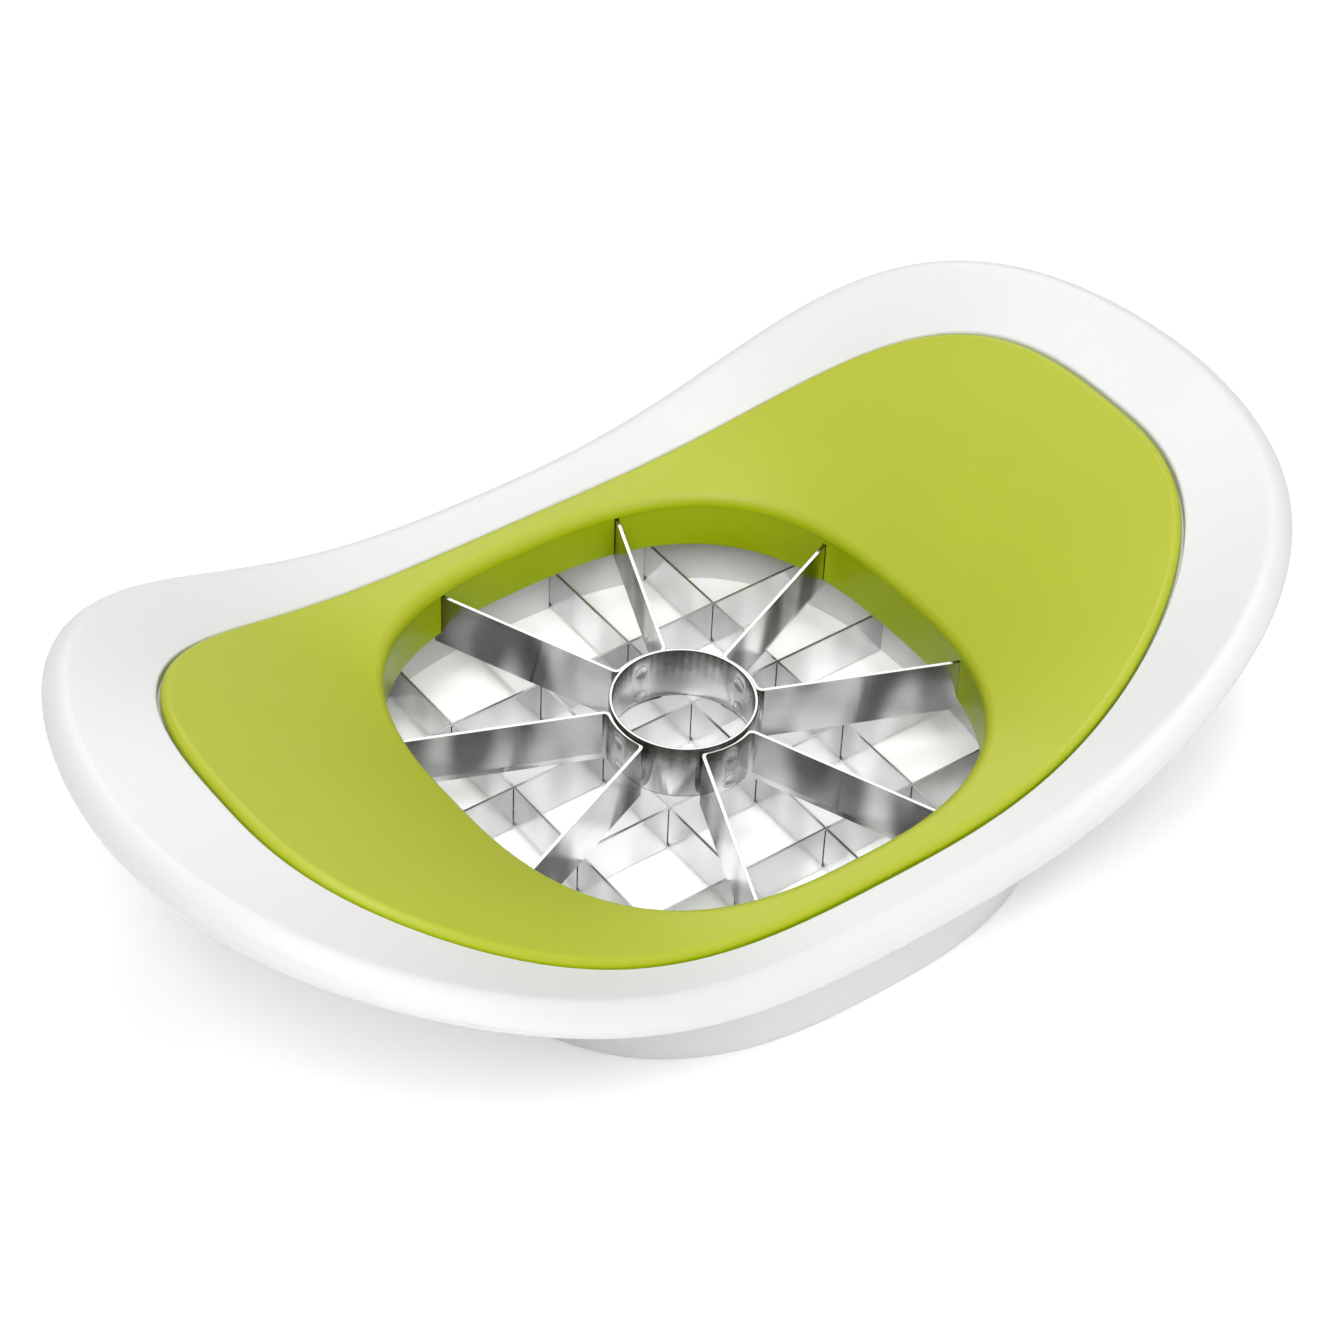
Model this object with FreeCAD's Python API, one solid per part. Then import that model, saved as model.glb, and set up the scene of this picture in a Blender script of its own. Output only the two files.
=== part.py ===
import FreeCAD, Part
import math
import os
from FreeCAD import Vector

os.makedirs("parts", exist_ok=True)

# A two-piece hand cutter for fruit and vegetables, in millimetres.
# A green wedger with eight radial blades and a core ring nests in a white chip
# cutter with a square grid of strips. Both are saddle-shaped, with raised ends
# that serve as handles.
# The origin is the centre of the white foot's underside, where the cutter
# stands on the board. +X runs along the handles and +Z is up.

# --- Driving dimensions ---------------------------------------------------

# Chip grid
GRID_PITCH = 17.8            # distance between neighbouring strips
STRIPS_PER_WAY = 4
STRIP_THICKNESS = 0.5
STRIP_HEIGHT = 8.8
STRIP_LIFT = 0.3             # lower edges above the board
STRIP_EMBED = 1.5            # depth of a strip's end in the collar
LAP_CLEARANCE = 0.05         # round a strip in its half-lap slots and pockets

# Wedger blades: one bent strip makes two neighbouring blades
BLADE_PAIRS = 4
BLADE_THICKNESS = 0.6
BLADE_HEIGHT = 10.2
BLADE_OVER_GRID = 1.5        # gap between the blades and the grid below
BLADE_EMBED = 1.6            # depth of a blade's end in the wall
BLADE_BEND_RADIUS = 0.8      # inside radius where a strip turns on to the core
BLADE_BELOW_WALL = 2.2       # how far the blades stand out under the wall
POCKET_CLEARANCE = 0.12      # round a blade's end in its pocket

# Ground cutting edges, on the lower side of every strip and of the core
GRIND_HEIGHT = 1.6
EDGE_THICKNESS = 0.15

# Core ring
CORE_OUTER_RADIUS = 12.0
CORE_WALL = 0.6
CORE_HEIGHT = 10.2
CORE_OVER_BLADES = 0.6
WELD_GAP = 0.02              # between the core and a strip beside the welds
WELD_RADIUS = 1.1            # dimple of a spot weld
WELD_DEPTH = 0.15
WELD_SPACING = 5.2           # the two welds of a strip, one above the other

# Wedger: opening, wall and deck
OPENING_HALF = 44.0          # half the opening, across its flats
OPENING_POWER = 2.7          # 2 is a circle, more is a rounder square
WALL_THICKNESS = 4.8
RIM_OVER_BLADES = 2.5
RIM_RADIUS = 2.3
DECK_HALF_LENGTH = 84.6
DECK_HALF_WIDTH = 50.0
DECK_POWER = 2.77
DECK_THICKNESS = 2.8
DECK_END_RISE = 27.1         # of the raised ends over the flat sides
DECK_RISE_SPAN = 97.0        # distance from the centre where the rise levels off
DECK_RISE_POWER = 1.6
DECK_BOW = 0.2               # how far the slope bulges between rim and edge
DECK_EDGE_RADIUS = 1.2
WALL_FOOT_RADIUS = 0.4
SKIN_STEP = 0.15             # the deck's soft skin ends under the rim, this far proud of the wall

# Chip cutter frame
NEST_CLEARANCE = 0.8         # between the wedger's wall and the collar
COLLAR_THICKNESS = 3.6
SEAT_CLEARANCE = 0.3         # between the deck and the tray floor under it
DECK_SIDE_CLEARANCE = 0.5    # between the deck's edge and the tray wall
DECK_PROUD = 1.0             # how far the deck's edge stands over the frame
TRAY_FLOOR = 2.4
FRAME_HALF_LENGTH = 103.0
FRAME_HALF_WIDTH = 60.3
FRAME_POWER_LENGTHWAYS = 4.7
FRAME_POWER_ACROSS = 1.95
FRAME_SIDE_OVER_RIM = 1.1    # top of the frame's sides over the wedger's rim
FRAME_END_RISE = 27.1
FRAME_RISE_SPAN = 102.0
FRAME_RISE_POWER = 1.35
EDGE_HEIGHT = 6.8
EDGE_TOP_RADIUS = 3.2
EDGE_LOWER_RADIUS = 1.8
SKIRT_THICKNESS = 2.4        # outer wall round the hollow under the edge
HOLLOW_WIDTH_SIDES = 3.2
HOLLOW_WIDTH_ENDS = 11.0
TRAY_LIP_RADIUS = 0.5
FOOT_RADIUS = 0.6
UNDERSIDE_TURN_POWER = 4     # the higher, the later the underside turns down to the edge

# --- Heights that follow from them, counted up from the board -----------------

strip_top = STRIP_LIFT + STRIP_HEIGHT
blade_bottom = strip_top + BLADE_OVER_GRID
blade_top = blade_bottom + BLADE_HEIGHT
core_top = blade_top + CORE_OVER_BLADES
wall_bottom = blade_bottom + BLADE_BELOW_WALL
rim_z = blade_top + RIM_OVER_BLADES
frame_side_z = rim_z + FRAME_SIDE_OVER_RIM

collar_inner_half = OPENING_HALF + WALL_THICKNESS + NEST_CLEARANCE
collar_outer_half = collar_inner_half + COLLAR_THICKNESS

RING_POINTS = 48             # points on each closed curve
QUARTERS = 4                 # faces round each closed curve
SLOPE_STEPS = 4              # steps across a sloping face
ROUND_STEPS = 3              # steps over a rounded edge
HALVINGS = 60                # bisections that find a point on an outline
CUT_OVERRUN = 1.0            # how far a cutting block reaches past an open side


# --- Outlines and heights as functions of the angle round the centre ----------

def outline_radius(angle, half_x, half_y, power_x, power_y):
    """Distance from the centre to a rounded outline, in the given direction."""
    low, high = 0.0, half_x + half_y
    along, across = abs(math.cos(angle)), abs(math.sin(angle))
    for _ in range(HALVINGS):
        middle = (low + high) / 2
        inside = (middle * along / half_x) ** power_x + (middle * across / half_y) ** power_y
        if inside < 1:
            low = middle
        else:
            high = middle
    return low


def squircle(half):
    """The opening's rounded square, grown or shrunk to another half width."""
    return lambda angle: outline_radius(angle, half, half, OPENING_POWER, OPENING_POWER)


opening = squircle(OPENING_HALF)
wall_inside = squircle(OPENING_HALF + SKIN_STEP)
wall_outside = squircle(OPENING_HALF + WALL_THICKNESS)
collar_inside = squircle(collar_inner_half)
collar_outside = squircle(collar_outer_half)


def deck_edge(angle):
    return outline_radius(angle, DECK_HALF_LENGTH, DECK_HALF_WIDTH, DECK_POWER, DECK_POWER)


def tray_edge(angle):
    return deck_edge(angle) + DECK_SIDE_CLEARANCE


def frame_edge(angle):
    return outline_radius(angle, FRAME_HALF_LENGTH, FRAME_HALF_WIDTH,
                          FRAME_POWER_LENGTHWAYS, FRAME_POWER_ACROSS)


def rise(x, height, span, power):
    """A smooth climb from the flat middle to the raised ends."""
    return height * math.sin(math.pi / 2 * min(abs(x) / span, 1.0) ** power) ** 2


def deck_z(angle, radius):
    """Height of the wedger's top face: level at the rim, raised at the ends."""
    inner, outer = opening(angle), deck_edge(angle)
    climb = rise(outer * math.cos(angle), DECK_END_RISE, DECK_RISE_SPAN, DECK_RISE_POWER)
    part = (radius - inner) / (outer - inner)
    return rim_z + climb * part * (1 + DECK_BOW * (1 - part))


def deck_underside_z(angle, radius):
    return deck_z(angle, radius) - DECK_THICKNESS


def tray_floor_z(angle, radius):
    return deck_underside_z(angle, radius) - SEAT_CLEARANCE


def frame_edge_z(angle):
    x = frame_edge(angle) * math.cos(angle)
    return frame_side_z + rise(x, FRAME_END_RISE, FRAME_RISE_SPAN, FRAME_RISE_POWER)


def tray_lip_z(angle):
    return deck_z(angle, deck_edge(angle)) - DECK_PROUD


def band_z(angle, radius):
    """Height of the frame's top face between the tray and the outer edge."""
    part = (radius - tray_edge(angle)) / (frame_edge(angle) - tray_edge(angle))
    return tray_lip_z(angle) + part * (frame_edge_z(angle) - tray_lip_z(angle))


def frame_underside_z(angle, radius):
    """Under the tray floor, turning down to the lower side of the outer edge."""
    part = (radius - collar_outside(angle)) / (frame_edge(angle) - collar_outside(angle))
    under_tray = tray_floor_z(angle, radius) - TRAY_FLOOR
    under_edge = frame_edge_z(angle) - EDGE_HEIGHT
    drop = tray_floor_z(angle, frame_edge(angle)) - TRAY_FLOOR - under_edge
    return under_tray - drop * part ** UNDERSIDE_TURN_POWER


# --- Building blocks ----------------------------------------------------------
#
# A curve round the centre is given by a function of the angle that returns its
# radius and height.

def at(outline, height):
    """The curve on an outline at a height function."""
    return lambda angle: (outline(angle), height(angle, outline(angle)))


def level(z):
    return lambda angle, radius: z


def ring(curve):
    """A closed smooth wire along a curve."""
    points = []
    for i in range(RING_POINTS):
        angle = 2 * math.pi * i / RING_POINTS
        radius, z = curve(angle)
        points.append(Vector(radius * math.cos(angle), radius * math.sin(angle), z))
    spline = Part.BSplineCurve()
    turns = [i / RING_POINTS for i in range(RING_POINTS + 1)]
    spline.interpolate(points, PeriodicFlag=True, Parameters=turns)
    quarters = [i / QUARTERS for i in range(QUARTERS + 1)]
    return Part.Wire([spline.toShape(start, end) for start, end in zip(quarters, quarters[1:])])


def wall(lower, upper):
    """A straight face between two curves."""
    return Part.makeLoft([ring(lower), ring(upper)], False, True)


def ledge(inner, outer):
    """A straight face between two curves that lie too close together for a loft."""
    return Part.makeRuledSurface(ring(inner), ring(outer))


def slope(inner, outer, height):
    """A smooth face that follows a height function from one curve to another."""
    def step(part):
        def curve(angle):
            start, end = inner(angle)[0], outer(angle)[0]
            radius = start + part * (end - start)
            return radius, height(angle, radius)
        return curve

    return Part.makeLoft([ring(step(i / SLOPE_STEPS)) for i in range(SLOPE_STEPS + 1)], False)


def flat(inner, outer):
    """A level face between two level curves."""
    return Part.makeFace([ring(outer), ring(inner)], "Part::FaceMakerBullseye")


def rounding(outline, height, radius, solid_side, upward):
    """Steps over the rounded edge between an upright face and a sloping one.

    The upright face stands on the outline. solid_side is 1 where the material lies
    outside it and -1 where it lies inside. upward is 1 for a top edge and -1 for a
    lower one. The first step lies on the slope and the last on the upright face.
    """
    def step(part):
        def curve(angle):
            centre = outline(angle) + solid_side * radius
            small = radius / 100
            climb = height(angle, centre + small) - height(angle, centre - small)
            tilt = math.atan(climb / (2 * small))
            out_r, out_z = -upward * math.sin(tilt), upward * math.cos(tilt)
            touch = centre + radius * out_r
            centre_z = height(angle, touch) - radius * out_z
            first = math.atan2(out_z, out_r)
            last = upward * math.pi if solid_side > 0 else 0.0
            turn = first + part * (last - first)
            return centre + radius * math.cos(turn), centre_z + radius * math.sin(turn)
        return curve

    return [step(i / ROUND_STEPS) for i in range(ROUND_STEPS + 1)]


def bead(steps):
    """The face of a rounded edge."""
    return Part.makeLoft([ring(step) for step in steps], False)


def closed(faces):
    """The solid inside a set of faces that meet edge to edge."""
    shell = Part.Shell([face for group in faces for face in group.Faces])
    shell.sewShape()
    solid = Part.Solid(shell)
    if solid.Volume < 0:
        solid.reverse()
    return Part.Solid(Part.Shell(solid.Faces))


def turned(shape, degrees):
    copy = shape.copy()
    copy.rotate(Vector(0, 0, 0), Vector(0, 0, 1), degrees)
    return copy


def block(x_low, x_high, y_half, z_low, z_high):
    """A box along X, centred on the X axis."""
    return Part.makeBox(x_high - x_low, 2 * y_half, z_high - z_low, Vector(x_low, -y_half, z_low))


def ground_strip(section, z_low, height, full, thin):
    """A strip with a ground lower edge. section(width, z) is its plan at one height."""
    ground = Part.makeLoft([section(thin, z_low), section(full, z_low + GRIND_HEIGHT)], True, True)
    body = Part.Face(section(full, z_low + GRIND_HEIGHT)).extrude(Vector(0, 0, height - GRIND_HEIGHT))
    return ground.fuse(body).removeSplitter()


# --- Wedger -------------------------------------------------------------------

blade_step = 360 / (2 * BLADE_PAIRS)
blade_reach = opening(math.radians(blade_step / 2)) + BLADE_EMBED


def make_wedger_frame():
    """Saddle-shaped deck with a wall round the opening and a pocket for each blade end."""
    rim = rounding(opening, deck_z, RIM_RADIUS, 1, 1)
    edge = rounding(deck_edge, deck_z, DECK_EDGE_RADIUS, -1, 1)
    edge_under = at(deck_edge, deck_underside_z)
    wall_top = at(wall_outside, deck_underside_z)
    foot_inside = rounding(wall_inside, level(wall_bottom), WALL_FOOT_RADIUS, 1, -1)
    foot_outside = rounding(wall_outside, level(wall_bottom), WALL_FOOT_RADIUS, -1, -1)

    def skin_edge(angle):
        return wall_inside(angle), rim[-1](angle)[1]

    body = closed([
        wall(foot_inside[-1], skin_edge),
        ledge(skin_edge, rim[-1]),
        bead(rim),
        slope(rim[0], edge[0], deck_z),
        bead(edge),
        wall(edge_under, edge[-1]),
        slope(wall_top, edge_under, deck_underside_z),
        wall(foot_outside[-1], wall_top),
        bead(foot_outside),
        flat(foot_inside[0], foot_outside[0]),
        bead(foot_inside),
    ])
    pocket = block(blade_reach - BLADE_EMBED - WALL_THICKNESS, blade_reach + POCKET_CLEARANCE,
                   BLADE_THICKNESS / 2 + POCKET_CLEARANCE,
                   wall_bottom - CUT_OVERRUN, blade_top + POCKET_CLEARANCE)
    return body.cut([turned(pocket, (i + 0.5) * blade_step) for i in range(2 * BLADE_PAIRS)])


def blade_section(width, z):
    """Plan of a bent strip: in along one blade, round the core, out along the next.

    Its face against the core stays in place, and width is measured away from the core.
    """
    half_angle = math.radians(blade_step / 2)
    bend = BLADE_BEND_RADIUS + BLADE_THICKNESS / 2
    middle = CORE_OUTER_RADIUS + WELD_GAP + BLADE_THICKNESS / 2
    bend_centre = middle + bend
    swing = math.asin(bend / bend_centre)
    bend_angle = half_angle - swing
    line_start = bend_centre * math.cos(swing)
    centre = Vector(bend_centre * math.cos(bend_angle), bend_centre * math.sin(bend_angle), z)

    def side(offset):
        """One face of the strip, offset from its middle towards the pair's axis."""
        core_radius = middle + offset
        small = bend - offset
        out = Vector(math.cos(half_angle), math.sin(half_angle), 0)
        inward = Vector(math.sin(half_angle), -math.cos(half_angle), 0)
        tip = out * blade_reach + inward * offset + Vector(0, 0, z)
        root = out * line_start + inward * offset + Vector(0, 0, z)
        on_arc = Vector(core_radius * math.cos(bend_angle), core_radius * math.sin(bend_angle), z)
        turn_middle = (root + on_arc) * 0.5 - centre
        corner = centre + turn_middle * (small / turn_middle.Length)
        return tip, root, corner, on_arc, Vector(core_radius, 0, z)

    def mirrored(point):
        return Vector(point.x, -point.y, point.z)

    def path(offset):
        tip, root, corner, on_arc, nose = side(offset)
        return [
            Part.LineSegment(tip, root),
            Part.Arc(root, corner, on_arc),
            Part.Arc(on_arc, nose, mirrored(on_arc)),
            Part.Arc(mirrored(on_arc), mirrored(corner), mirrored(root)),
            Part.LineSegment(mirrored(root), mirrored(tip)),
        ]

    core_side = -BLADE_THICKNESS / 2
    open_side = core_side + width
    near, far = side(core_side)[0], side(open_side)[0]
    curves = path(core_side) + [Part.LineSegment(mirrored(near), mirrored(far))]
    curves += path(open_side) + [Part.LineSegment(far, near)]
    return Part.Wire(Part.__sortEdges__([curve.toShape() for curve in curves]))


def weld_dimple(radius_out):
    """A shallow round dent, pressed into a face at the given distance from the axis."""
    ball = (WELD_RADIUS ** 2 + WELD_DEPTH ** 2) / (2 * WELD_DEPTH)
    dents = []
    for up in (-0.5, 0.5):
        z = (blade_bottom + blade_top) / 2 + up * WELD_SPACING
        dents.append(Part.makeSphere(ball, Vector(radius_out(ball), 0, z)))
    return dents[0].fuse(dents[1])


def make_blade_pair():
    strip = ground_strip(blade_section, blade_bottom, BLADE_HEIGHT, BLADE_THICKNESS, EDGE_THICKNESS)
    outside = CORE_OUTER_RADIUS + WELD_GAP + BLADE_THICKNESS
    return strip.cut(weld_dimple(lambda ball: outside + ball - WELD_DEPTH))


def make_core_ring():
    """A short tube with a ground lower edge and the strips' weld dimples inside it."""
    inner = CORE_OUTER_RADIUS - CORE_WALL
    bottom = core_top - CORE_HEIGHT
    profile = Part.makePolygon([
        Vector(inner, 0, core_top), Vector(CORE_OUTER_RADIUS, 0, core_top),
        Vector(CORE_OUTER_RADIUS, 0, bottom), Vector(CORE_OUTER_RADIUS - EDGE_THICKNESS, 0, bottom),
        Vector(inner, 0, bottom + GRIND_HEIGHT), Vector(inner, 0, core_top),
    ])
    tube = Part.Face(profile).revolve(Vector(0, 0, 0), Vector(0, 0, 1), 360)
    dents = weld_dimple(lambda ball: inner + WELD_DEPTH - ball)
    return tube.cut([turned(dents, i * 2 * blade_step) for i in range(BLADE_PAIRS)])


# --- Chip cutter --------------------------------------------------------------

grid_places = [(i - (STRIPS_PER_WAY - 1) / 2) * GRID_PITCH for i in range(STRIPS_PER_WAY)]


def strip_half_length(place):
    """From the middle of a strip to its end in the collar."""
    side = 1 - (abs(place) / collar_inner_half) ** OPENING_POWER
    return collar_inner_half * side ** (1 / OPENING_POWER) + STRIP_EMBED


def hollow_outside(angle):
    """Outer wall of the channel under the frame's edge."""
    return frame_edge(angle) - SKIRT_THICKNESS


def hollow_inside(angle):
    """Its inner wall: the channel is narrow at the sides and wide at the ends."""
    x = frame_edge(angle) * math.cos(angle)
    widening = (HOLLOW_WIDTH_ENDS - HOLLOW_WIDTH_SIDES) * (x / FRAME_HALF_LENGTH) ** 2
    return hollow_outside(angle) - HOLLOW_WIDTH_SIDES - widening


def hollow_z(angle, radius):
    return band_z(angle, radius) - TRAY_FLOOR


def skirt_bottom_z(angle, radius):
    return frame_edge_z(angle) - EDGE_HEIGHT


def make_chip_frame():
    """Saddle-shaped tray with a collar down to the board and pockets for the strips."""
    foot_inside = rounding(collar_inside, level(0), FOOT_RADIUS, 1, -1)
    foot_outside = rounding(collar_outside, level(0), FOOT_RADIUS, -1, -1)
    collar_top = at(collar_inside, tray_floor_z)
    tray_corner = at(tray_edge, tray_floor_z)
    lip = rounding(tray_edge, band_z, TRAY_LIP_RADIUS, 1, 1)
    edge_over = rounding(frame_edge, band_z, EDGE_TOP_RADIUS, -1, 1)
    edge_under = rounding(frame_edge, skirt_bottom_z, EDGE_LOWER_RADIUS, -1, -1)
    skirt_foot = at(hollow_outside, skirt_bottom_z)
    channel_outside = at(hollow_outside, hollow_z)
    channel_inside = at(hollow_inside, hollow_z)
    channel_foot = at(hollow_inside, frame_underside_z)
    collar_root = at(collar_outside, frame_underside_z)
    body = closed([
        wall(foot_inside[-1], collar_top),
        slope(collar_top, tray_corner, tray_floor_z),
        wall(tray_corner, lip[-1]),
        bead(lip),
        slope(lip[0], edge_over[0], band_z),
        bead(edge_over),
        wall(edge_under[-1], edge_over[-1]),
        bead(edge_under),
        wall(skirt_foot, edge_under[0]),
        wall(skirt_foot, channel_outside),
        slope(channel_inside, channel_outside, hollow_z),
        wall(channel_foot, channel_inside),
        slope(collar_root, channel_foot, frame_underside_z),
        wall(foot_outside[-1], collar_root),
        bead(foot_outside),
        flat(foot_inside[0], foot_outside[0]),
        bead(foot_inside),
    ])
    pockets = []
    for place in grid_places:
        reach = strip_half_length(place) + LAP_CLEARANCE
        pocket = block(-reach, reach, STRIP_THICKNESS / 2 + LAP_CLEARANCE,
                       STRIP_LIFT - LAP_CLEARANCE, strip_top + LAP_CLEARANCE)
        pocket.translate(Vector(0, place, 0))
        pockets += [pocket, turned(pocket, 90)]
    return body.cut(pockets)


def make_grid_strip(place, slots_open_down):
    """A strip along X at one place of the grid, slotted half through for the crossing strips."""
    half_length = strip_half_length(place)

    def section(width, z):
        low, high = -STRIP_THICKNESS / 2, width - STRIP_THICKNESS / 2
        corners = [(-half_length, low), (half_length, low), (half_length, high), (-half_length, high)]
        return Part.makePolygon([Vector(x, y, z) for x, y in corners + corners[:1]])

    strip = ground_strip(section, STRIP_LIFT, STRIP_HEIGHT, STRIP_THICKNESS, EDGE_THICKNESS)
    middle = STRIP_LIFT + STRIP_HEIGHT / 2
    if slots_open_down:
        slot_low, slot_high = STRIP_LIFT - CUT_OVERRUN, middle + LAP_CLEARANCE
    else:
        slot_low, slot_high = middle - LAP_CLEARANCE, strip_top + CUT_OVERRUN
    half_slot = STRIP_THICKNESS / 2 + LAP_CLEARANCE
    strip = strip.cut([
        block(crossing - half_slot, crossing + half_slot, STRIP_THICKNESS, slot_low, slot_high)
        for crossing in grid_places
    ])
    strip.translate(Vector(0, place, 0))
    return strip


# --- Sub-parts ----------------------------------------------------------------

nodes = {
    "wedger_frame": make_wedger_frame(),
    "core_ring": make_core_ring(),
    "chip_frame": make_chip_frame(),
}
for i in range(BLADE_PAIRS):
    nodes[f"wedge_blade_{i + 1}"] = turned(make_blade_pair(), i * 2 * blade_step)
for i, place in enumerate(grid_places):
    nodes[f"chip_strip_x_{i + 1}"] = make_grid_strip(place, True)
    nodes[f"chip_strip_y_{i + 1}"] = turned(make_grid_strip(place, False), 90)

for name, shape in nodes.items():
    solids = shape.Solids
    print(f"{name}: {len(solids)} solid, valid {shape.isValid()}, volume {shape.Volume:.1f} mm3")
    shape.exportStep(f"parts/{name}.step")
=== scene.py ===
import math

import bpy
from bpy.props import FloatProperty, FloatVectorProperty, IntProperty, PointerProperty
from mathutils import Matrix, Vector


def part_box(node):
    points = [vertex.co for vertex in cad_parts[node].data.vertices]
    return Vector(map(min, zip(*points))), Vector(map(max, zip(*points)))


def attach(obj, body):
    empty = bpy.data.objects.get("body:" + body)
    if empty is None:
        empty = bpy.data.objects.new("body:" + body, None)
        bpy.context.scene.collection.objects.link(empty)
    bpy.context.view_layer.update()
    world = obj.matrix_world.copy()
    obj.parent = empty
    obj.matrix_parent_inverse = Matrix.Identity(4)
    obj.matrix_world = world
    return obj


bl_info = {
    "name": "Apple Wedger and Chip Cutter",
    "version": (1, 0, 0),
    "blender": (4, 5, 0),
    "location": "3D View > Sidebar > Cutter",
    "description": "Finishes a nested pair of hand cutters for fruit and sets up a white studio",
    "category": "Object",
}

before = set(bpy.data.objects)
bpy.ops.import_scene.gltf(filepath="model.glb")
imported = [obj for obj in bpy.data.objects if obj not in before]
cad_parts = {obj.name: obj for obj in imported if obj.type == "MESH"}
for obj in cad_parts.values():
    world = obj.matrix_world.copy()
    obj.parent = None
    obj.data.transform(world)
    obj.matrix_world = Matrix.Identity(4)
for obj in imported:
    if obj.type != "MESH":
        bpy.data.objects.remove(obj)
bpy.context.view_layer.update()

MM = 0.001
WHITE = (1.0, 1.0, 1.0, 1.0)

# --- The object's own sizes, in metres --------------------------------------------

core_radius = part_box("core_ring")[1].x
blade_low, blade_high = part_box("wedge_blade_1")
blade_bottom, blade_top = blade_low.z, blade_high.z
grid_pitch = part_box("chip_strip_x_2")[0].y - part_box("chip_strip_x_1")[0].y

# Sizes of the solids that their boxes don't show
RIM_OVER_BLADES = 2.5 * MM
RIM_RADIUS = 2.3 * MM
CORE_WALL = 0.6 * MM
STRIP_OVER_CORE = 0.62 * MM     # a blade strip and the thin gap under it

# The soft skin ends at this height
skin_edge = blade_top + RIM_OVER_BLADES - RIM_RADIUS


# --- Settings -----------------------------------------------------------------------

def to_linear(hex_colour):
    """An sRGB hex colour as linear red, green, blue and alpha."""
    parts = [int(hex_colour[i:i + 2], 16) / 255 for i in (1, 3, 5)]
    return tuple(c / 12.92 if c <= 0.04045 else ((c + 0.055) / 1.055) ** 2.4 for c in parts) + (1.0,)


def colour(name, description, hex_colour):
    return FloatVectorProperty(name=name, description=description, subtype="COLOR", size=4,
                               min=0.0, max=1.0, default=to_linear(hex_colour))


def length(name, description, default):
    return FloatProperty(name=name, description=description, unit="LENGTH", subtype="DISTANCE",
                         min=0.0, precision=5, default=default)


def angle(name, description, degrees):
    return FloatProperty(name=name, description=description, subtype="ANGLE",
                         default=math.radians(degrees))


class WedgerSettings(bpy.types.PropertyGroup):
    """The green moulding, with its soft skin on the deck and its bare wall."""
    skin_colour: colour("Skin", "Soft-touch skin of the deck", "#AAB22A")
    skin_pale_colour: colour("Skin, pale", "Paler patches in the skin", "#AFB831")
    wall_colour: colour("Wall", "Bare plastic of the wall and underside", "#A8BC00")
    patch: length("Patch", "Spacing of the paler patches", 18.0 * MM)
    # Real grain is about 0.2 mm apart, too fine to show, so it is drawn coarser
    grain: length("Grain", "Spacing of the skin's moulded grain", 0.7 * MM)


class ChipCutterSettings(bpy.types.PropertyGroup):
    """The white moulding."""
    colour: colour("White", "White of the frame", "#DDDDDD")
    shade_colour: colour("White, shade", "Slightly greyer flow patches", "#D9D9DA")
    flow: length("Flow", "Spacing of the flow patches", 30.0 * MM)
    ripple: length("Ripple", "Spacing of the faint ripple in the moulded surface", 3.0 * MM)


class SteelSettings(bpy.types.PropertyGroup):
    """Strip steel of the blades, the core ring and the grid."""
    blade_colour: colour("Blade steel", "Stainless steel of the blades", "#E4E4E5")
    # Painted reflection: the dull colours are darker upright bands mixed into the steel where it would
    # reflect dark surroundings
    blade_painted_reflection_colour: colour("Blade, dull", "Duller clouds that the polishing leaves in it", "#737374")
    core_colour: colour("Core steel", "Brighter stainless tube of the core ring", "#F0F0F0")
    core_painted_reflection_colour: colour("Core, dull", "Duller clouds in it", "#A4A4A5")
    strip_colour: colour("Strip steel", "Brighter stainless steel of the grid strips", "#E8E8E9")
    strip_painted_reflection_colour: colour("Strip, dull", "Duller clouds in it", "#CFCFD0")
    # Painted shade: the edge colours are darker steel on faces that look straight up, which tones down
    # their reflection, and the burr colour is a darker line on the bevel beside them
    blade_edge_shade_colour: colour("Edge, blades", "Upper edge of the blades and the core ring", "#8C8B89")
    burr_shade_colour: colour("Edge, burr", "Dull burr beside that edge", "#4A4A4A")
    strip_edge_shade_colour: colour("Edge, strips", "Sheared upper edge of the grid strips", "#9E9E9E")
    # Painted shade: a dark line in the corners where the strips cross
    corner_shade_colour: colour("Corner", "Dark line in the corners of the half-laps", "#3A3937")
    # Real rolling lines are about 0.05 mm apart, too fine to show, so they are drawn coarser
    streak: length("Streak", "Spacing of the rolling lines across the strip", 0.35 * MM)
    cloud: length("Cloud", "Spacing of the duller clouds", 6.5 * MM)
    wave: length("Wave", "Spacing of the waviness of the thin sheet", 9.0 * MM)
    blade_bevel: length("Bevel, blades", "Width of the bevels along the blades", 0.24 * MM)
    strip_bevel: length("Bevel, strips", "Width of the deburred edges of the grid strips", 0.1 * MM)
    weld_radius: length("Weld radius", "Radius of the upset ring round a spot weld", 1.25 * MM)
    weld_wire: length("Weld ring", "Thickness of that ring", 0.13 * MM)
    weld_spacing: length("Weld spacing", "Distance between the two welds of a strip", 5.2 * MM)
    weld_sides: IntProperty(name="Weld sides", description="Sections round a weld ring",
                            min=8, default=28)


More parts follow.
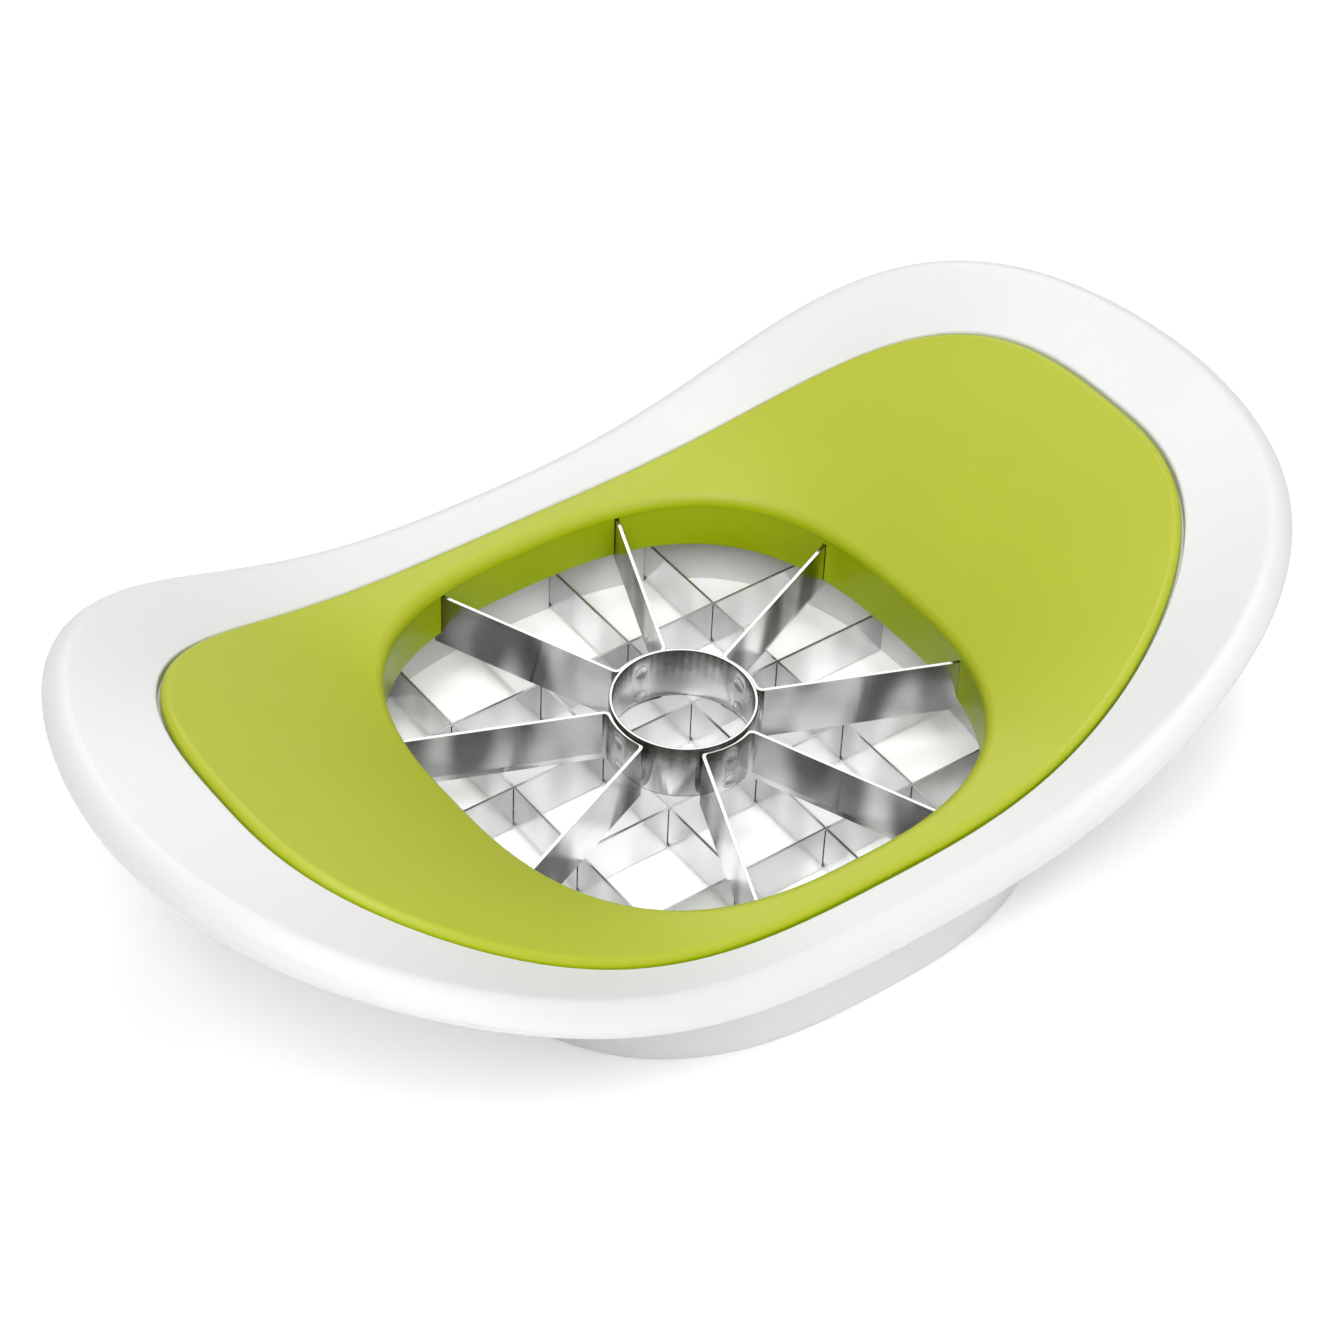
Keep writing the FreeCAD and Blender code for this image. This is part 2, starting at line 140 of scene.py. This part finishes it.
class StudioSettings(bpy.types.PropertyGroup):
    """Camera, floor and surroundings."""
    azimuth: angle("Azimuth", "Camera direction round the object", -38.253)
    elevation: angle("Elevation", "Camera height over the floor", 42.31)
    roll: angle("Roll", "Camera turned about its own view", 2.713)
    distance: length("Distance", "From the camera to its aim", 558.9 * MM)
    aim_height: length("Aim height", "Height of the aim over the floor", 25.0 * MM)
    aim_right: FloatProperty(name="Aim right", description="Aim moved right in the view",
                             unit="LENGTH", default=-2.4 * MM)
    aim_up: FloatProperty(name="Aim up", description="Aim moved up in the view",
                          unit="LENGTH", default=1.75 * MM)
    lens: FloatProperty(name="Lens", description="Focal length for a 36 mm sensor",
                        unit="CAMERA", default=94.38)
    floor_size: length("Floor size", "Side of the floor", 6.0)
    floor_colour: colour("Floor", "White of the opal table top", "#FBFBFB")
    near_glow: FloatProperty(name="Near glow", description="Light through the table top by the object",
                             default=0.139)
    near_reach: length("Near reach", "How far out that light stays the same", 0.3)
    far_glow: FloatProperty(name="Far glow", description="Light through the table top further out",
                            default=0.95)
    far_reach: length("Far reach", "Where the further light has its full strength", 1.2)
    overhead: FloatProperty(name="Overhead", description="Light of the room straight above",
                            default=0.0)
    horizon: FloatProperty(name="Horizon", description="Light of the room at table height",
                           default=0.25)


# --- Materials ----------------------------------------------------------------------

def add_node(tree, kind, inputs=None, **settings):
    """A new node with its settings, and its inputs given a value or linked to an output.

    An input goes by its name or its place. A Mix node mixes numbers at places 2 and 3, and
    colours at 6 and 7.
    """
    node = tree.nodes.new(kind)
    for name, value in settings.items():
        setattr(node, name, value)
    for key, value in (inputs or {}).items():
        if isinstance(value, bpy.types.NodeSocket):
            tree.links.new(value, node.inputs[key])
        else:
            node.inputs[key].default_value = value
    return node


def new_material(name):
    """An empty material, its node tree and the point it colours, in the object's coordinates."""
    material = bpy.data.materials.new(name)
    material.use_nodes = True
    tree = material.node_tree
    tree.nodes.clear()
    place = add_node(tree, "ShaderNodeTexCoord").outputs["Object"]
    return material, tree, place


def soft_touch_over_abs(settings):
    """Green ABS, moulded, with a soft-touch TPE skin over the deck.

    The skin scatters light evenly and has a fine grain. Its paler colour fades to the wall's
    deeper green where it turns down over the rim, a painted sheen on the up-facing deck, and the bare
    wall under it is smoother and a deeper green.
    """
    skin_fade = 0.05 * MM
    material, tree, place = new_material("soft_touch_tpe_over_green_abs")
    height = add_node(tree, "ShaderNodeSeparateXYZ", {"Vector": place}).outputs["Z"]
    normal = add_node(tree, "ShaderNodeNewGeometry").outputs["Normal"]
    facing_up = add_node(tree, "ShaderNodeSeparateXYZ", {"Vector": normal}).outputs["Z"]
    over_line = add_node(tree, "ShaderNodeMapRange", {
        "Value": height, "From Min": skin_edge - skin_fade,
        "From Max": skin_edge + skin_fade}).outputs["Result"]
    # Painted sheen: the skin's paler colour holds where the surface faces up and fades to the wall's
    # deeper green as it turns down over the rim, so skin is partly the real skin above its line and
    # partly painted sheen
    painted_sheen_by_facing = add_node(tree, "ShaderNodeMapRange", {
        "Value": facing_up, "From Min": 0.1, "From Max": 0.75}).outputs["Result"]
    skin = add_node(tree, "ShaderNodeMath", {0: over_line, 1: painted_sheen_by_facing},
                    operation="MULTIPLY").outputs[0]

    patches = add_node(tree, "ShaderNodeTexNoise", {
        "Vector": place, "Scale": 1 / settings.patch, "Detail": 2.0}).outputs["Fac"]
    skin_colour = add_node(tree, "ShaderNodeMix", {
        "Factor": patches, 6: tuple(settings.skin_colour), 7: tuple(settings.skin_pale_colour)},
        data_type="RGBA").outputs[2]
    base = add_node(tree, "ShaderNodeMix", {
        "Factor": skin, 6: tuple(settings.wall_colour), 7: skin_colour},
        data_type="RGBA").outputs[2]

    grain = add_node(tree, "ShaderNodeTexNoise", {
        "Vector": place, "Scale": 1 / settings.grain, "Detail": 3.0,
        "Roughness": 0.6}).outputs["Fac"]
    skin_roughness = add_node(tree, "ShaderNodeMapRange", {
        "Value": grain, "To Min": 0.46, "To Max": 0.58}).outputs["Result"]
    wall_roughness = add_node(tree, "ShaderNodeMapRange", {
        "Value": patches, "To Min": 0.26, "To Max": 0.34}).outputs["Result"]
    roughness = add_node(tree, "ShaderNodeMix", {
        "Factor": skin, 2: wall_roughness, 3: skin_roughness}).outputs[0]
    gloss = add_node(tree, "ShaderNodeMapRange", {
        "Value": skin, "To Min": 0.18, "To Max": 0.5}).outputs["Result"]
    grain_depth = add_node(tree, "ShaderNodeMapRange", {
        "Value": skin, "To Min": 0.02, "To Max": 0.12}).outputs["Result"]
    bump = add_node(tree, "ShaderNodeBump", {
        "Height": grain, "Distance": 0.1 * MM, "Strength": grain_depth}).outputs["Normal"]
    shader = add_node(tree, "ShaderNodeBsdfPrincipled", {
        "Base Color": base, "Roughness": roughness, "Normal": bump, "IOR": 1.49,
        "Specular IOR Level": gloss})
    add_node(tree, "ShaderNodeOutputMaterial", {"Surface": shader.outputs["BSDF"]})
    return material


def white_abs(settings):
    """White ABS, moulded: satin, with a faint ripple that breaks up long highlights."""
    material, tree, place = new_material("white_moulded_abs")
    ripple = add_node(tree, "ShaderNodeTexNoise", {
        "Vector": place, "Scale": 1 / settings.ripple, "Detail": 2.0}).outputs["Fac"]
    flow = add_node(tree, "ShaderNodeTexNoise", {
        "Vector": place, "Scale": 1 / settings.flow, "Detail": 1.0}).outputs["Fac"]
    base = add_node(tree, "ShaderNodeMix", {
        "Factor": flow, 6: tuple(settings.colour), 7: tuple(settings.shade_colour)},
        data_type="RGBA").outputs[2]
    roughness = add_node(tree, "ShaderNodeMapRange", {
        "Value": flow, "To Min": 0.42, "To Max": 0.52}).outputs["Result"]
    bump = add_node(tree, "ShaderNodeBump", {
        "Height": ripple, "Distance": 0.05 * MM, "Strength": 0.06}).outputs["Normal"]
    shader = add_node(tree, "ShaderNodeBsdfPrincipled", {
        "Base Color": base, "Roughness": roughness, "Normal": bump, "IOR": 1.53})
    add_node(tree, "ShaderNodeOutputMaterial", {"Surface": shader.outputs["BSDF"]})
    return material


def lap_corner_shade(tree, place, facing, pitch):
    """1 in the corners where two strips cross, which take a dark line of painted shade, and 0
    elsewhere.

    The crossings lie half a pitch and one and a half pitches from a strip's middle.
    """
    dark_within, faded_within = 0.3 * MM, 0.42 * MM
    spot = add_node(tree, "ShaderNodeSeparateXYZ", {"Vector": place})
    sideways = add_node(tree, "ShaderNodeMath", {0: facing.outputs["X"]},
                        operation="ABSOLUTE").outputs[0]
    faces_x = add_node(tree, "ShaderNodeMath", {0: sideways, 1: 0.5},
                       operation="GREATER_THAN").outputs[0]
    along = add_node(tree, "ShaderNodeMix", {
        "Factor": faces_x, 2: spot.outputs["X"], 3: spot.outputs["Y"]}).outputs[0]
    from_cell_middle = add_node(tree, "ShaderNodeMath", {0: along, 1: pitch / 2},
                                operation="PINGPONG").outputs[0]
    at_crossing = add_node(tree, "ShaderNodeMapRange", {
        "Value": from_cell_middle, "From Min": pitch / 2 - faded_within,
        "From Max": pitch / 2 - dark_within}).outputs["Result"]
    distance = add_node(tree, "ShaderNodeMath", {0: along}, operation="ABSOLUTE").outputs[0]
    in_grid = add_node(tree, "ShaderNodeMath", {0: distance, 1: 2 * pitch},
                       operation="LESS_THAN").outputs[0]
    return add_node(tree, "ShaderNodeMath", {0: at_crossing, 1: in_grid},
                    operation="MULTIPLY").outputs[0]


def polished_stainless(settings, name, colours, edge_shade_colour, burr_shade_colour,
                       edge_roughness=0.15, lap_pitch=0.0):
    """Stainless strip, cold-rolled and polished along its length.

    The rolling lines run level, so a reflection stays sharper sideways than up and down, and
    the thin sheet is never quite flat, which bends what it reflects. colours are those of the
    sheet and of its darker upright bands, which are painted reflection. edge_shade_colour is
    that of the upper edge, smooth and bright where it is polished, rough where it is only
    sheared; its darker colour where the edge faces straight up is painted shade that tones down
    its reflection. burr_shade_colour is that of the rough bevel beside it; where it is darker than
    the sheet, it is painted shade. lap_pitch is the distance between half-laps, whose corners
    hold a dark line of painted shade.
    """
    along_rolling = 0.02                      # rolling lines are some fifty times as long as wide
    cloud_place = (0.0, 0.07, 0.05)           # part of the noise, picked for where its bands of painted reflection fall
    cloud_shape = (1.0, 1.0, 0.3)             # the bands of painted reflection are about three times as tall as wide
    burr_roughness = 0.45
    material, tree, place = new_material(name)
    level_lines = add_node(tree, "ShaderNodeMapping", {
        "Vector": place, "Scale": (along_rolling, along_rolling, 1.0)}).outputs["Vector"]
    streaks = add_node(tree, "ShaderNodeTexNoise", {
        "Vector": level_lines, "Scale": 1 / settings.streak, "Detail": 3.0,
        "Roughness": 0.7}).outputs["Fac"]
    waves = add_node(tree, "ShaderNodeTexNoise", {
        "Vector": place, "Scale": 1 / settings.wave, "Detail": 1.0}).outputs["Fac"]
    upright_bands = add_node(tree, "ShaderNodeMapping", {
        "Vector": place, "Location": cloud_place, "Scale": cloud_shape}).outputs["Vector"]
    clouds = add_node(tree, "ShaderNodeTexNoise", {
        "Vector": upright_bands, "Scale": 1 / settings.cloud, "Detail": 0.0}).outputs["Fac"]
    dull = add_node(tree, "ShaderNodeMapRange", {
        "Value": clouds, "From Min": 0.3, "From Max": 0.7},
        interpolation_type="SMOOTHSTEP").outputs["Result"]
    # The upper edge faces straight up, and the bevels beside it tilt up
    facing = add_node(tree, "ShaderNodeSeparateXYZ", {
        "Vector": add_node(tree, "ShaderNodeTexCoord").outputs["Normal"]})
    on_edge = add_node(tree, "ShaderNodeMapRange", {
        "Value": facing.outputs["Z"], "From Min": 0.95, "From Max": 0.99}).outputs["Result"]
    on_burr_shade = add_node(tree, "ShaderNodeMapRange", {
        "Value": facing.outputs["Z"], "From Min": 0.05, "From Max": 0.3}).outputs["Result"]

    # Painted reflection: the steel's colour darkens to colours[1] in upright bands
    base = add_node(tree, "ShaderNodeMix", {
        "Factor": dull, 6: tuple(colours[0]), 7: tuple(colours[1])},
        data_type="RGBA").outputs[2]
    if lap_pitch:
        # Painted shade: a dark line in the half-lap corners
        base = add_node(tree, "ShaderNodeMix", {
            "Factor": lap_corner_shade(tree, place, facing, lap_pitch), 6: base,
            7: tuple(settings.corner_shade_colour)}, data_type="RGBA").outputs[2]
    # Painted shade: a darker line on the bevel beside the upper edge; the bevel's higher roughness is
    # real
    base = add_node(tree, "ShaderNodeMix", {
        "Factor": on_burr_shade, 6: base, 7: tuple(burr_shade_colour)}, data_type="RGBA").outputs[2]
    # Painted shade: darker steel on the upper edge, which tones down its reflection
    base = add_node(tree, "ShaderNodeMix", {
        "Factor": on_edge, 6: base, 7: tuple(edge_shade_colour)}, data_type="RGBA").outputs[2]

    sheet_roughness = add_node(tree, "ShaderNodeMapRange", {
        "Value": streaks, "From Min": 0.3, "From Max": 0.7,
        "To Min": 0.12, "To Max": 0.19}).outputs["Result"]
    side_roughness = add_node(tree, "ShaderNodeMix", {
        "Factor": on_burr_shade, 2: sheet_roughness, 3: burr_roughness}).outputs[0]
    roughness = add_node(tree, "ShaderNodeMix", {
        "Factor": on_edge, 2: side_roughness, 3: edge_roughness}).outputs[0]
    brushed = add_node(tree, "ShaderNodeMapRange", {
        "Value": on_burr_shade, "To Min": 0.95, "To Max": 0.0}).outputs["Result"]
    # Just off upright, because the tangent of a face that looks straight up can't be upright
    upright = add_node(tree, "ShaderNodeCombineXYZ", {
        "X": 0.02, "Y": 0.01, "Z": 1.0}).outputs["Vector"]
    waved = add_node(tree, "ShaderNodeBump", {
        "Height": waves, "Distance": 0.22 * MM, "Strength": 1.0}).outputs["Normal"]
    bump = add_node(tree, "ShaderNodeBump", {
        "Height": streaks, "Distance": 0.01 * MM, "Strength": 0.1,
        "Normal": waved}).outputs["Normal"]
    shader = add_node(tree, "ShaderNodeBsdfPrincipled", {
        "Base Color": base, "Metallic": 1.0, "Roughness": roughness, "Anisotropic": brushed,
        "Tangent": upright, "Normal": bump})
    add_node(tree, "ShaderNodeOutputMaterial", {"Surface": shader.outputs["BSDF"]})
    return material


def opal_acrylic(settings):
    """Matt opal acrylic, lit from below.

    Its light is faint by the object, so that shadows on it stay pale, and stronger further
    out, where the soft boxes no longer reach and it has to stay white.
    """
    material, tree, place = new_material("matt_opal_acrylic")
    reach = add_node(tree, "ShaderNodeVectorMath", {0: place}, operation="LENGTH").outputs["Value"]
    glow = add_node(tree, "ShaderNodeMapRange", {
        "Value": reach, "From Min": settings.near_reach, "From Max": settings.far_reach,
        "To Min": settings.near_glow, "To Max": settings.far_glow},
        interpolation_type="SMOOTHSTEP").outputs["Result"]
    shader = add_node(tree, "ShaderNodeBsdfPrincipled", {
        "Base Color": tuple(settings.floor_colour), "Roughness": 0.9, "Specular IOR Level": 0.1,
        "Emission Color": WHITE, "Emission Strength": glow})
    add_node(tree, "ShaderNodeOutputMaterial", {"Surface": shader.outputs["BSDF"]})
    return material


# --- Pieces -------------------------------------------------------------------------

def give(node_name, material):
    """Puts a material on a CAD node."""
    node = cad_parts[node_name]
    node.data.materials.clear()
    node.data.materials.append(material)
    return node


def soften_edges(node, width):
    """Deburred edges, which catch a thin line of light."""
    same_point, sharp_edge = 0.001 * MM, math.radians(40)
    node.modifiers.new("join", "WELD").merge_threshold = same_point
    bevel = node.modifiers.new("deburr", "BEVEL")
    bevel.width = width
    bevel.segments = 2
    bevel.limit_method = "ANGLE"
    bevel.angle_limit = sharp_edge
    bevel.harden_normals = True


def new_piece(name, vertices, faces, material, body):
    """A smooth mesh piece that rides on a body."""
    mesh = bpy.data.meshes.new(name)
    mesh.from_pydata(vertices, [], faces)
    mesh.materials.append(material)
    mesh.shade_smooth()
    piece = bpy.data.objects.new(name, mesh)
    bpy.context.scene.collection.objects.link(piece)
    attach(piece, body)
    return piece


class CUTTER_OT_wedger_frame(bpy.types.Operator):
    """Finishes the green frame in soft-touch skin over bare plastic"""
    bl_idname = "cutter.wedger_frame"
    bl_label = "Wedger Frame"

    def execute(self, context):
        give("wedger_frame", soft_touch_over_abs(context.scene.cutter_wedger))
        return {"FINISHED"}


class CUTTER_OT_wedge_blades(bpy.types.Operator):
    """Finishes the core ring and the bent strips that make the eight blades"""
    bl_idname = "cutter.wedge_blades"
    bl_label = "Wedge Blades and Core"

    def execute(self, context):
        settings = context.scene.cutter_steel
        steel = polished_stainless(settings, "polished_stainless_blades",
                                   (settings.blade_colour, settings.blade_painted_reflection_colour),
                                   settings.blade_edge_shade_colour, settings.burr_shade_colour)
        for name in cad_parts:
            if name.startswith("wedge_blade_"):
                soften_edges(give(name, steel), settings.blade_bevel)
        core_steel = polished_stainless(settings, "polished_stainless_core",
                                        (settings.core_colour, settings.core_painted_reflection_colour),
                                        settings.blade_edge_shade_colour, settings.burr_shade_colour)
        soften_edges(give("core_ring", core_steel), settings.blade_bevel)
        return {"FINISHED"}


def weld_ring(settings, azimuth, height, surface_radius):
    """Vertices and faces of the upset ring of a spot weld, wrapped on to a round wall.

    Its section is an oval, half as thick as it is wide, with its middle on the wall.
    """
    around, across, flattening = settings.weld_sides, 8, 0.5
    wire_radius = settings.weld_wire / 2
    vertices, faces = [], []
    for i in range(around):
        turn = 2 * math.pi * i / around
        for j in range(across):
            tube = 2 * math.pi * j / across
            reach = settings.weld_radius + wire_radius * math.cos(tube)
            radius = surface_radius + flattening * wire_radius * math.sin(tube)
            bearing = azimuth + reach * math.cos(turn) / surface_radius
            vertices.append((radius * math.cos(bearing), radius * math.sin(bearing),
                             height + reach * math.sin(turn)))
            next_i, next_j = (i + 1) % around, (j + 1) % across
            faces.append((i * across + j, next_i * across + j,
                          next_i * across + next_j, i * across + next_j))
    return vertices, faces


class CUTTER_OT_weld_rings(bpy.types.Operator):
    """Adds the upset rings of the spot welds, inside the core and outside the strips"""
    bl_idname = "cutter.weld_rings"
    bl_label = "Weld Rings"

    def execute(self, context):
        settings = context.scene.cutter_steel
        steel = polished_stainless(settings, "polished_stainless_welds",
                                   (settings.blade_colour, settings.blade_painted_reflection_colour),
                                   settings.blade_edge_shade_colour, settings.burr_shade_colour)
        middle = (blade_bottom + blade_top) / 2
        vertices, faces = [], []
        for quarter in range(4):
            for side in (-0.5, 0.5):
                for radius in (core_radius - CORE_WALL, core_radius + STRIP_OVER_CORE):
                    ring, ring_faces = weld_ring(settings, quarter * math.pi / 2,
                                                 middle + side * settings.weld_spacing, radius)
                    faces += [tuple(len(vertices) + k for k in face) for face in ring_faces]
                    vertices += ring
        new_piece("weld_rings", vertices, faces, steel, "wedger")
        return {"FINISHED"}


class CUTTER_OT_chip_frame(bpy.types.Operator):
    """Finishes the white frame"""
    bl_idname = "cutter.chip_frame"
    bl_label = "Chip Cutter Frame"

    def execute(self, context):
        give("chip_frame", white_abs(context.scene.cutter_chip_cutter))
        return {"FINISHED"}


class CUTTER_OT_chip_strips(bpy.types.Operator):
    """Finishes the strips of the square grid"""
    bl_idname = "cutter.chip_strips"
    bl_label = "Chip Strips"

    def execute(self, context):
        settings = context.scene.cutter_steel
        steel = polished_stainless(settings, "sheared_stainless_strips",
                                   (settings.strip_colour, settings.strip_painted_reflection_colour),
                                   settings.strip_edge_shade_colour, settings.strip_colour,
                                   edge_roughness=0.45, lap_pitch=grid_pitch)
        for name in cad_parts:
            if name.startswith("chip_strip_"):
                soften_edges(give(name, steel), settings.strip_bevel)
        return {"FINISHED"}


# --- Studio -------------------------------------------------------------------------

# Soft boxes that all face the object: name, side in metres, place in metres, power in watts
SOFT_BOXES = (
    ("key_light", 0.6, (-0.62, -0.48, 1.1), 10.0),
    ("front_light", 0.6, (0.1, -0.75, 1.1), 4.4),
    ("top_light", 0.4, (0, 0, 1.4), 5.6),
    ("back_light", 0.6, (0.5, 0.82, 0.9), 5.2),
    ("low_fill", 0.6, (-0.15, -1.15, 0.35), 1.6),
)


class CUTTER_OT_studio(bpy.types.Operator):
    """Sets up the camera, the white floor and the soft lights"""
    bl_idname = "cutter.studio"
    bl_label = "Studio"

    def execute(self, context):
        settings = context.scene.cutter_studio
        self.add_camera(context.scene, settings)
        self.add_floor(context.scene, settings)
        self.add_room(context.scene, settings)
        for name, side, place, power in SOFT_BOXES:
            self.add_soft_box(context.scene, name, side, place, power)
        context.scene.view_settings.view_transform = "Standard"
        return {"FINISHED"}

    def add_camera(self, scene, settings):
        """A camera that looks at its aim from an azimuth and elevation, rolled in its view."""
        sin_a, cos_a = math.sin(settings.azimuth), math.cos(settings.azimuth)
        sin_e, cos_e = math.sin(settings.elevation), math.cos(settings.elevation)
        right = Vector((cos_a, sin_a, 0))
        back = Vector((sin_a * cos_e, -cos_a * cos_e, sin_e))
        up = back.cross(right)
        aim = Vector((0, 0, settings.aim_height)) + settings.aim_right * right + settings.aim_up * up
        rolled_right = right * math.cos(settings.roll) + up * math.sin(settings.roll)
        rolled_up = up * math.cos(settings.roll) - right * math.sin(settings.roll)
        data = bpy.data.cameras.new("camera")
        data.sensor_width = 36.0
        data.lens = settings.lens
        data.clip_start = 0.01
        camera = bpy.data.objects.new("camera", data)
        axes = Matrix((rolled_right, rolled_up, back)).transposed()
        camera.matrix_world = Matrix.Translation(aim + back * settings.distance) @ axes.to_4x4()
        scene.collection.objects.link(camera)
        scene.camera = camera

    def add_floor(self, scene, settings):
        half = settings.floor_size / 2
        mesh = bpy.data.meshes.new("floor")
        mesh.from_pydata([(-half, -half, 0), (half, -half, 0), (half, half, 0), (-half, half, 0)],
                         [], [(0, 1, 2, 3)])
        mesh.materials.append(opal_acrylic(settings))
        floor = bpy.data.objects.new("floor", mesh)
        scene.collection.objects.link(floor)

    def add_room(self, scene, settings):
        """A room that is pale round about and darkens upwards, with a white backdrop."""
        darkens_from, dark_from = 0.2, 0.95     # heights on a dome of radius 1
        world = bpy.data.worlds.new("surroundings")
        world.use_nodes = True
        tree = world.node_tree
        tree.nodes.clear()
        direction = add_node(tree, "ShaderNodeTexCoord").outputs["Generated"]
        height = add_node(tree, "ShaderNodeSeparateXYZ", {"Vector": direction}).outputs["Z"]
        glow = add_node(tree, "ShaderNodeMapRange", {
            "Value": height, "From Min": darkens_from, "From Max": dark_from,
            "To Min": settings.horizon, "To Max": settings.overhead}).outputs["Result"]
        room = add_node(tree, "ShaderNodeBackground", {"Color": WHITE, "Strength": glow})
        backdrop = add_node(tree, "ShaderNodeBackground", {"Color": WHITE, "Strength": 1.0})
        seen = add_node(tree, "ShaderNodeLightPath").outputs["Is Camera Ray"]
        mixed = add_node(tree, "ShaderNodeMixShader", {
            "Fac": seen, 1: room.outputs[0], 2: backdrop.outputs[0]}).outputs[0]
        add_node(tree, "ShaderNodeOutputWorld", {"Surface": mixed})
        scene.world = world

    def add_soft_box(self, scene, name, side, place, power):
        """A square area light that faces the object."""
        light = bpy.data.lights.new(name, "AREA")
        light.shape = "SQUARE"
        light.size = side
        light.energy = power
        lamp = bpy.data.objects.new(name, light)
        lamp.location = place
        to_object = Vector((0, 0, 0)) - Vector(place)
        lamp.rotation_euler = to_object.to_track_quat("-Z", "Y").to_euler()
        scene.collection.objects.link(lamp)


# --- Panel and registration ---------------------------------------------------------

class CUTTER_PT_tools(bpy.types.Panel):
    """Lists the cutter's pieces and the studio"""
    bl_label = "Cutter"
    bl_idname = "CUTTER_PT_tools"
    bl_space_type = "VIEW_3D"
    bl_region_type = "UI"
    bl_category = "Cutter"

    def draw(self, context):
        for operator in OPERATORS:
            self.layout.operator(operator.bl_idname)


SETTINGS = {
    "cutter_wedger": WedgerSettings,
    "cutter_chip_cutter": ChipCutterSettings,
    "cutter_steel": SteelSettings,
    "cutter_studio": StudioSettings,
}
OPERATORS = (
    CUTTER_OT_wedger_frame,
    CUTTER_OT_wedge_blades,
    CUTTER_OT_weld_rings,
    CUTTER_OT_chip_frame,
    CUTTER_OT_chip_strips,
    CUTTER_OT_studio,
)


def register():
    for cls in (*SETTINGS.values(), *OPERATORS, CUTTER_PT_tools):
        bpy.utils.register_class(cls)
    for name, group in SETTINGS.items():
        setattr(bpy.types.Scene, name, PointerProperty(type=group))


def unregister():
    for name in SETTINGS:
        delattr(bpy.types.Scene, name)
    for cls in (CUTTER_PT_tools, *reversed(OPERATORS), *reversed(SETTINGS.values())):
        bpy.utils.unregister_class(cls)


def main():
    register()
    bpy.ops.cutter.wedger_frame()
    bpy.ops.cutter.wedge_blades()
    bpy.ops.cutter.weld_rings()
    bpy.ops.cutter.chip_frame()
    bpy.ops.cutter.chip_strips()
    bpy.ops.cutter.studio()


if __name__ == "__main__":
    main()
